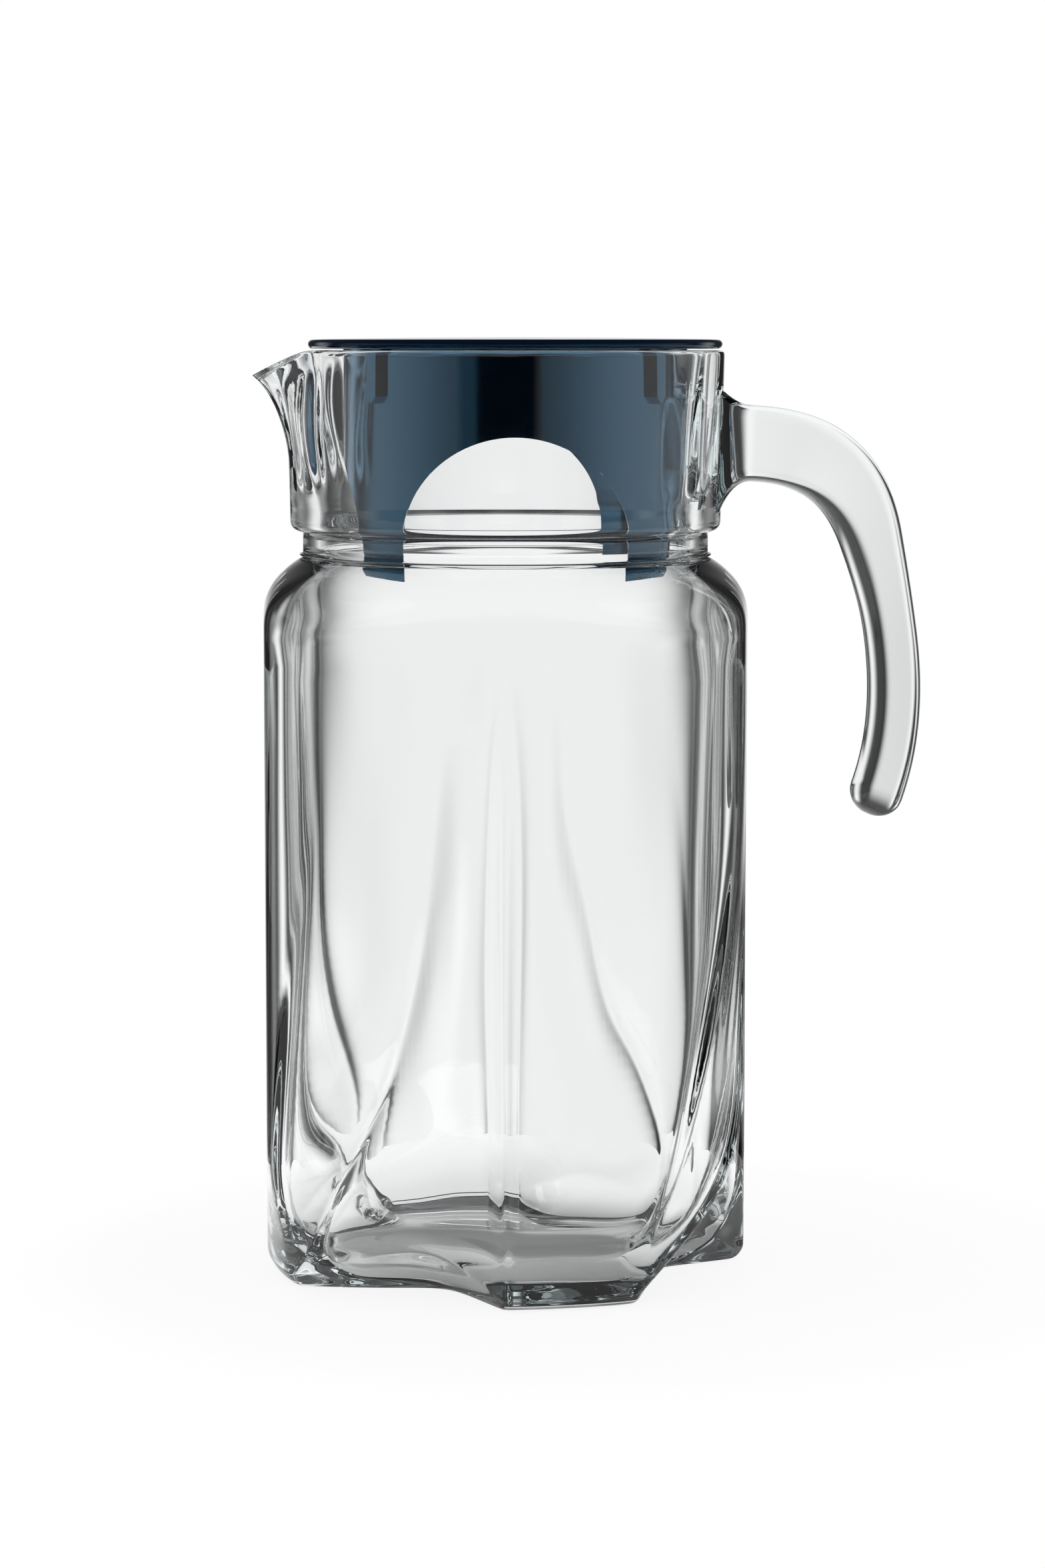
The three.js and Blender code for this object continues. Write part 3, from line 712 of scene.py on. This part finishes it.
def lid_moulding():
    """The disc and the skirt, turned about the axis, before the arches are cut."""
    inner = SKIRT_RADIUS - SKIRT_WALL
    edge = (DISC_TOP - DISC_FOOT) / 2
    first, second = UNDER_DISC_DEPTHS
    profile = [(inner * t, DISC_FOOT) for t in UNDER_DISC_SHARES]
    profile.append((inner, DISC_FOOT - first))
    profile += [(inner, z) for z in np.linspace(DISC_FOOT - second, SKIRT_FOOT, SKIRT_RINGS)]
    profile.append((SKIRT_RADIUS, SKIRT_FOOT))
    for t in shares(LEG_BEAD_STEPS)[1:]:
        stand = LEG_BEAD * math.sin(t * math.pi)
        profile.append((SKIRT_RADIUS + stand, SKIRT_FOOT + LEG_BEAD_HEIGHT * t))
    heights = np.linspace(SKIRT_FOOT + LEG_BEAD_HEIGHT, DISC_FOOT, SKIRT_RINGS)[1:]
    profile += [(SKIRT_RADIUS, z) for z in heights]
    profile.append((DISC_RADIUS - edge - EDGE_SUPPORT, DISC_FOOT))
    for t in shares(DISC_EDGE_STEPS):
        turn = (t - 0.5) * math.pi
        radius = DISC_RADIUS - edge + edge * math.cos(turn)
        profile.append((radius, DISC_FOOT + edge + edge * math.sin(turn)))
    for t in CROWN_SHARES:
        profile.append((DISC_RADIUS * t, DISC_TOP + LID_CROWN * (1 - t * t)))
    rings = [lid_ring(r, z) for r, z in profile]
    return lofted("plastic_lid", rings, (0, 0, DISC_FOOT), (0, 0, LID_TOP), (LID_X, 0, 0))


def arch_cutter(half_width, crown, ends, turned, aside=0):
    """A round-headed bar through the skirt between two ends along Y or, turned, along X."""
    spring = SKIRT_FOOT + crown - half_width
    foot = SKIRT_FOOT - ARCH_OVERRUN
    turns = shares(ARCH_STEPS) * math.pi
    across = np.array([half_width, *half_width * np.cos(turns), -half_width]) - aside
    heights = [foot, *spring + half_width * np.sin(turns), foot]
    rings = []
    for y in ends:
        if turned:
            ring = [(LID_X - y, a, z) for a, z in zip(across, heights)]
        else:
            ring = [(LID_X + a, y, z) for a, z in zip(across, heights)]
        rings.append(np.array(ring))
    middles = [ring.mean(axis=0) for ring in rings]
    return lofted("arch", rings[::-1], middles[1], middles[0], (0, 0, 0))


def lid():
    made = lid_moulding()
    far = DISC_RADIUS
    cut_or_join(made, arch_cutter(*WIDE_ARCH, (-far, 0), False), "DIFFERENCE")
    cut_or_join(made, arch_cutter(*WIDE_ARCH, (0, far), False, BACK_ARCH_ASIDE), "DIFFERENCE")
    cut_or_join(made, arch_cutter(*SIDE_ARCH, (-far, far), True), "DIFFERENCE")
    edges = made.modifiers.new("edges", "BEVEL")
    edges.width = LID_BEVEL * MM
    edges.segments = 2
    edges.limit_method = "ANGLE"
    edges.angle_limit = math.radians(LID_BEVEL_ANGLE)
    keep_result(made, edges)
    keep_result(made, made.modifiers.new("even_shading", "WEIGHTED_NORMAL"))
    return made


class Socket:
    """A node's output. Sums and products of it add Math nodes to its tree."""

    def __init__(self, tree, output):
        self.tree = tree
        self.output = output

    def apply(self, operation, *others):
        inputs = dict(enumerate((self, *others)))
        return self.tree.add("ShaderNodeMath", {"operation": operation}, inputs)

    def __add__(self, other):
        return self.apply("ADD", other)

    def __sub__(self, other):
        return self.apply("SUBTRACT", other)

    def __rsub__(self, other):
        return self.apply("MULTIPLY_ADD", -1, other)

    def __mul__(self, other):
        return self.apply("MULTIPLY", other)

    __radd__ = __add__
    __rmul__ = __mul__


class Tree:
    """A node tree that takes a node's type, its settings and its socket values in one call."""

    def __init__(self, tree):
        self.tree = tree
        self.tree.nodes.clear()

    def add(self, kind, settings=None, inputs=None, out=0):
        node = self.tree.nodes.new(kind)
        for name, value in (settings or {}).items():
            setattr(node, name, value)
        for name, value in (inputs or {}).items():
            if isinstance(value, Socket):
                self.tree.links.new(value.output, node.inputs[name])
            else:
                node.inputs[name].default_value = value
        return Socket(self, node.outputs[out]) if node.outputs else node

    def vector(self, x, y, z):
        return self.add("ShaderNodeCombineXYZ", inputs={0: x, 1: y, 2: z})

    def axes(self, vector):
        return [self.add("ShaderNodeSeparateXYZ", inputs={0: vector}, out=name) for name in "XYZ"]


RIB_INPUTS = {
    "Azimuth": math.radians(RIB_AZIMUTH),
    "Centre": LID_X * MM,
    "Radius": (SKIRT_RADIUS - SKIRT_WALL / 2) * MM,
    "Top": DISC_FOOT * MM,
    "Width": RIB_WIDTH * MM,
    "Length": RIB_LENGTH * MM,
    "Stand": (RIB_STAND + SKIRT_WALL / 2) * MM,
}


def rib_tree():
    """A tree for four pointed ribs on a skirt, to either side of its front and of its back."""
    group = bpy.data.node_groups.new("lid_ribs", "GeometryNodeTree")
    for name in RIB_INPUTS:
        group.interface.new_socket(name, in_out="INPUT", socket_type="NodeSocketFloat")
    group.interface.new_socket("Material", in_out="INPUT", socket_type="NodeSocketMaterial")
    group.interface.new_socket("Geometry", in_out="OUTPUT", socket_type="NodeSocketGeometry")
    tree = Tree(group)
    given = {name: tree.add("NodeGroupInput", out=name) for name in (*RIB_INPUTS, "Material")}
    width, length, stand = given["Width"], given["Length"], given["Stand"]
    height = length - width * 0.5
    size = tree.vector(width, stand, height)
    bar = tree.add("GeometryNodeMeshCube", inputs={"Size": size, "Vertices X": 3})
    x, y, z = tree.axes(tree.add("GeometryNodeInputPosition"))
    point = z.apply("LESS_THAN", 0) * (width * 0.5 - x.apply("ABSOLUTE"))
    offset = tree.vector(0, stand * -0.5, height * -0.5 - point)
    rib = tree.add("GeometryNodeSetPosition", inputs={"Geometry": bar, "Offset": offset})
    index = tree.add("GeometryNodeInputIndex")
    across = math.pi - given["Azimuth"] * 2
    other_side = index.apply("MODULO", 2) * across
    other_half = (index * 0.5).apply("FLOOR") * math.pi
    turn = given["Azimuth"] + other_side + other_half
    x = given["Centre"] + given["Radius"] * turn.apply("SINE")
    place = tree.vector(x, given["Radius"] * turn.apply("COSINE") * -1, given["Top"])
    points = tree.add("GeometryNodePoints", inputs={"Count": 4, "Position": place})
    way = tree.add("FunctionNodeEulerToRotation", inputs={"Euler": tree.vector(0, 0, turn)})
    spread = {"Points": points, "Instance": rib, "Rotation": way}
    ribs = tree.add("GeometryNodeInstanceOnPoints", inputs=spread)
    ribs = tree.add("GeometryNodeRealizeInstances", inputs={"Geometry": ribs})
    painted = {"Geometry": ribs, "Material": given["Material"]}
    ribs = tree.add("GeometryNodeSetMaterial", inputs=painted)
    tree.add("NodeGroupOutput", inputs={"Geometry": ribs})
    return group


def lid_ribs(paint):
    made = bpy.data.objects.new("lid_ribs", bpy.data.meshes.new("lid_ribs"))
    bpy.context.scene.collection.objects.link(made)
    group = rib_tree()
    modifier = made.modifiers.new("ribs", "NODES")
    modifier.node_group = group
    identifiers = {item.name: item.identifier for item in group.interface.items_tree}
    for name, value in {**RIB_INPUTS, "Material": paint}.items():
        modifier[identifiers[name]] = value
    keep_result(made, modifier)
    return made


def material(name):
    made = bpy.data.materials.new(name)
    made.use_nodes = True
    return made, Tree(made.node_tree)


# Glass: its index of refraction, its slow bumps and the tint that shows where it is thick
GLASS_INDEX = 1.49
GLASS_NOISE = {"Scale": 35.0, "Detail": 1.0}
GLASS_BUMP = {"Strength": 0.04, "Distance": 0.001}
GLASS_TINT = {"Color": (0.55, 0.78, 0.8, 1.0), "Density": 5.0}


def clear_glass():
    made, tree = material("clear_glass")
    where = tree.add("ShaderNodeTexCoord", out="Object")
    waves = tree.add("ShaderNodeTexNoise", inputs={"Vector": where, **GLASS_NOISE})
    bump = tree.add("ShaderNodeBump", inputs={"Height": waves, **GLASS_BUMP})
    shader = tree.add(
        "ShaderNodeBsdfPrincipled",
        inputs={
            "Base Color": (1.0, 1.0, 1.0, 1.0),
            "Roughness": 0.0,
            "IOR": GLASS_INDEX,
            "Transmission Weight": 1.0,
            "Normal": bump,
        },
    )
    tint = tree.add("ShaderNodeVolumeAbsorption", inputs=GLASS_TINT)
    tree.add("ShaderNodeOutputMaterial", inputs={"Surface": shader, "Volume": tint})
    return made


# Plastic: colours of its body and its shine, cloudy roughness and fine grain
PLASTIC_COLOUR = (0.001, 0.0045, 0.014, 1.0)
SHINE_COLOUR = (0.24, 0.64, 1.0, 1.0)
CLOUD_NOISE = {"Scale": 60.0, "Detail": 3.0}
CLEAR_ROUGHNESS = 0.08
CLOUD_ROUGHNESS = 0.05
GRAIN_NOISE = {"Scale": 900.0, "Detail": 2.0}
GRAIN_BUMP = {"Strength": 0.01, "Distance": 0.0001}

# Plastic: index of refraction and shine of the skirt and of the disc, which are lit and shaded copies
# of one plastic, the skirt's with a painted brighter sheen; and how the legs lie between, as painted
# shade
LIT_AND_SHADED_PLASTIC = ((2.0, 1.0), (1.45, 0.5))
DISC_BLEND = 0.3  # height over which skirt turns into disc
LEG_PAINTED_SHADE = 0.5  # share of the disc's plainer copy in the legs: painted shade below the collar
LEG_SHADE_BLEND = 5  # height over which the skirt turns into the legs' painted shade


def navy_plastic():
    made, tree = material("navy_plastic")
    where = tree.add("ShaderNodeTexCoord", out="Object")
    cloud = tree.add("ShaderNodeTexNoise", inputs={"Vector": where, **CLOUD_NOISE})
    grain = tree.add("ShaderNodeTexNoise", inputs={"Vector": where, **GRAIN_NOISE})
    bump = tree.add("ShaderNodeBump", inputs={"Height": grain, **GRAIN_BUMP})
    # The skirt's copy reflects more strongly than the disc's: a painted sheen on one and the same
    # plastic
    skirt, disc = [
        tree.add(
            "ShaderNodeBsdfPrincipled",
            inputs={
                "Base Color": PLASTIC_COLOUR,
                "Roughness": cloud * CLOUD_ROUGHNESS + CLEAR_ROUGHNESS,
                "IOR": bending,
                "Specular IOR Level": shine,
                "Specular Tint": SHINE_COLOUR,
                "Normal": bump,
            },
        )
        for bending, shine in LIT_AND_SHADED_PLASTIC
    ]
    height = tree.add("ShaderNodeSeparateXYZ", inputs={"Vector": where}, out="Z")
    # Above the rim the disc takes the plainer copy; below it the skirt takes the copy with the painted
    # sheen
    share = rising(tree, height, RIM * MM, (RIM + DISC_BLEND) * MM)
    # Painted shade: below the collar the legs lie part way to the disc's plainer copy
    leg_shade = 1 - rising(tree, height, (COLLAR_FOOT - LEG_SHADE_BLEND) * MM, COLLAR_FOOT * MM)
    share = share + leg_shade * LEG_PAINTED_SHADE
    mixed = tree.add("ShaderNodeMixShader", inputs={0: share, 1: skirt, 2: disc})
    tree.add("ShaderNodeOutputMaterial", inputs={"Surface": mixed})
    return made


def ray_kinds(tree):
    """1 for rays from the camera, and 1 for those that come out of gloss or glass."""
    kinds = ("Camera", "Glossy", "Transmission")
    camera, glossy, through = [
        tree.add("ShaderNodeLightPath", out=f"Is {kind} Ray") for kind in kinds
    ]
    return camera, glossy.apply("MAXIMUM", through)


def rising(tree, value, low, high):
    """0 below low, 1 above high, and a smooth step between them."""
    return tree.add(
        "ShaderNodeMapRange",
        {"interpolation_type": "SMOOTHSTEP"},
        {"Value": value, "From Min": low, "From Max": high},
    )


# Light as gloss and glass see it, with directions in degrees: bright streaks at every period of
# azimuth and dark flags between them, which fade in with elevation and draw the edges of the glass
FLAG_PERIOD = 45
FLAG_SPAN = (0.6, 15)
FLAG_DARK = 0.96
FLAG_FADE = (-17, -13)

# In front, a dark gap and lights that grow to the sides replace the flags, for the lid to reflect
FRONT_SPAN = (60, 80)
FRONT_FADE = (-12, -11)
FRONT_LIGHTS = (0.17, 0.54)
FRONT_LIGHTS_SPAN = (15, 85)
GAP_ASIDE = 4
GAP_SPAN = (19, 22)

# High up it is dark all round, for the top of the lid
HIGH_SPAN = (8, 18)
HIGH_LIGHT = 0.06

# Light on dull surfaces, and how many passes through glass and reflections a ray may have
AMBIENT = 1.0
GLASS_BOUNCES = 20
INNER_BOUNCES = 8

# Floor: shares of plain white in its middle as camera and glass see it, growing to all at its rim
FLOOR_RADIUS = 150
FLOOR_DROP = 0.3
FLOOR_POINTS = 96
FLOOR_GLOW = 0.88
FLOOR_GLASS_GLOW = 0.16
FLOOR_COLOUR = (0.99, 0.99, 0.99, 1)
WHITE = (1, 1, 1, 1)

# Camera, fitted to the photographed outlines, and its tilt downwards
CAMERA_LENS = 96.43
CAMERA_PLACE = (JUG_X + 4, -986.5, 218.2)
CAMERA_TILT = 6.026


def studio_world():
    world = bpy.data.worlds.new("studio")
    bpy.context.scene.world = world
    world.use_nodes = True
    tree = Tree(world.node_tree)
    camera, glass = ray_kinds(tree)
    way = tree.add("ShaderNodeTexCoord", out="Generated")
    x, y, z = tree.axes(way)
    degrees = 180 / math.pi
    azimuth = x.apply("ARCTAN2", y) * degrees
    ahead = (x.apply("ARCTAN2", y * -1) * degrees + GAP_ASIDE).apply("ABSOLUTE")
    elevation = z.apply("ARCSINE") * degrees
    near = (azimuth * (1 / FLAG_PERIOD) + 0.5).apply("FRACT") - 0.5
    turned = near.apply("ABSOLUTE") * FLAG_PERIOD
    flags = 1 - rising(tree, turned, *FLAG_SPAN) * FLAG_DARK * rising(tree, elevation, *FLAG_FADE)
    dim, bright = FRONT_LIGHTS
    front = rising(tree, ahead, *FRONT_LIGHTS_SPAN) * (bright - dim) + dim
    front = front * rising(tree, ahead, *GAP_SPAN)
    before = rising(tree, azimuth.apply("ABSOLUTE"), *FRONT_SPAN)
    before = before * rising(tree, elevation, *FRONT_FADE)
    above = rising(tree, elevation, *HIGH_SPAN)
    seen = flags + (front - flags) * before
    seen = seen + (HIGH_LIGHT - seen) * above
    strength = camera + glass * seen + (1 - camera - glass) * AMBIENT
    light = tree.add("ShaderNodeBackground", inputs={"Color": WHITE, "Strength": strength})
    tree.add("ShaderNodeOutputWorld", inputs={"Surface": light})


def floor():
    mesh = bpy.data.meshes.new("floor")
    shape = bmesh.new()
    radius = FLOOR_RADIUS * MM
    bmesh.ops.create_circle(shape, cap_ends=True, segments=FLOOR_POINTS, radius=radius)
    shape.to_mesh(mesh)
    shape.free()
    made = bpy.data.objects.new("floor", mesh)
    made.location.z = -FLOOR_DROP * MM
    bpy.context.scene.collection.objects.link(made)
    paint, tree = material("pale_floor")
    camera, glass = ray_kinds(tree)
    diffuse = tree.add("ShaderNodeBsdfDiffuse", inputs={"Color": FLOOR_COLOUR})
    glow = tree.add("ShaderNodeEmission", inputs={"Color": WHITE, "Strength": 1.0})
    where = tree.add("ShaderNodeTexCoord", out="Object")
    reach = tree.add("ShaderNodeVectorMath", {"operation": "LENGTH"}, {0: where}, out="Value")
    share = camera * FLOOR_GLOW + glass * FLOOR_GLASS_GLOW
    share = share.apply("MAXIMUM", (camera + glass) * rising(tree, reach, 0, radius))
    mixed = tree.add("ShaderNodeMixShader", inputs={0: share, 1: diffuse, 2: glow})
    tree.add("ShaderNodeOutputMaterial", inputs={"Surface": mixed})
    mesh.materials.append(paint)


def camera():
    data = bpy.data.cameras.new("camera")
    data.lens = CAMERA_LENS
    made = bpy.data.objects.new("camera", data)
    made.location = [length * MM for length in CAMERA_PLACE]
    made.rotation_euler = (math.radians(90 - CAMERA_TILT), 0, 0)
    bpy.context.scene.collection.objects.link(made)
    bpy.context.scene.camera = made


camera()
studio_world()
floor()
bpy.context.scene.view_settings.view_transform = "Standard"
cycles = bpy.context.scene.cycles
cycles.max_bounces = GLASS_BOUNCES
cycles.transmission_bounces = GLASS_BOUNCES
cycles.glossy_bounces = INNER_BOUNCES

glass_jug = jug()
cut_or_join(glass_jug, handle(), "UNION")
glass_jug.data.materials.clear()
glass_jug.data.materials.append(clear_glass())
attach(glass_jug, "jug")
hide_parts("jug_body", "handle")

navy = navy_plastic()
plastic_lid = lid()
plastic_lid.data.materials.clear()
plastic_lid.data.materials.append(navy)
ribs = lid_ribs(navy)
for piece in (plastic_lid, ribs):
    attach(piece, "lid")
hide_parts("lid")
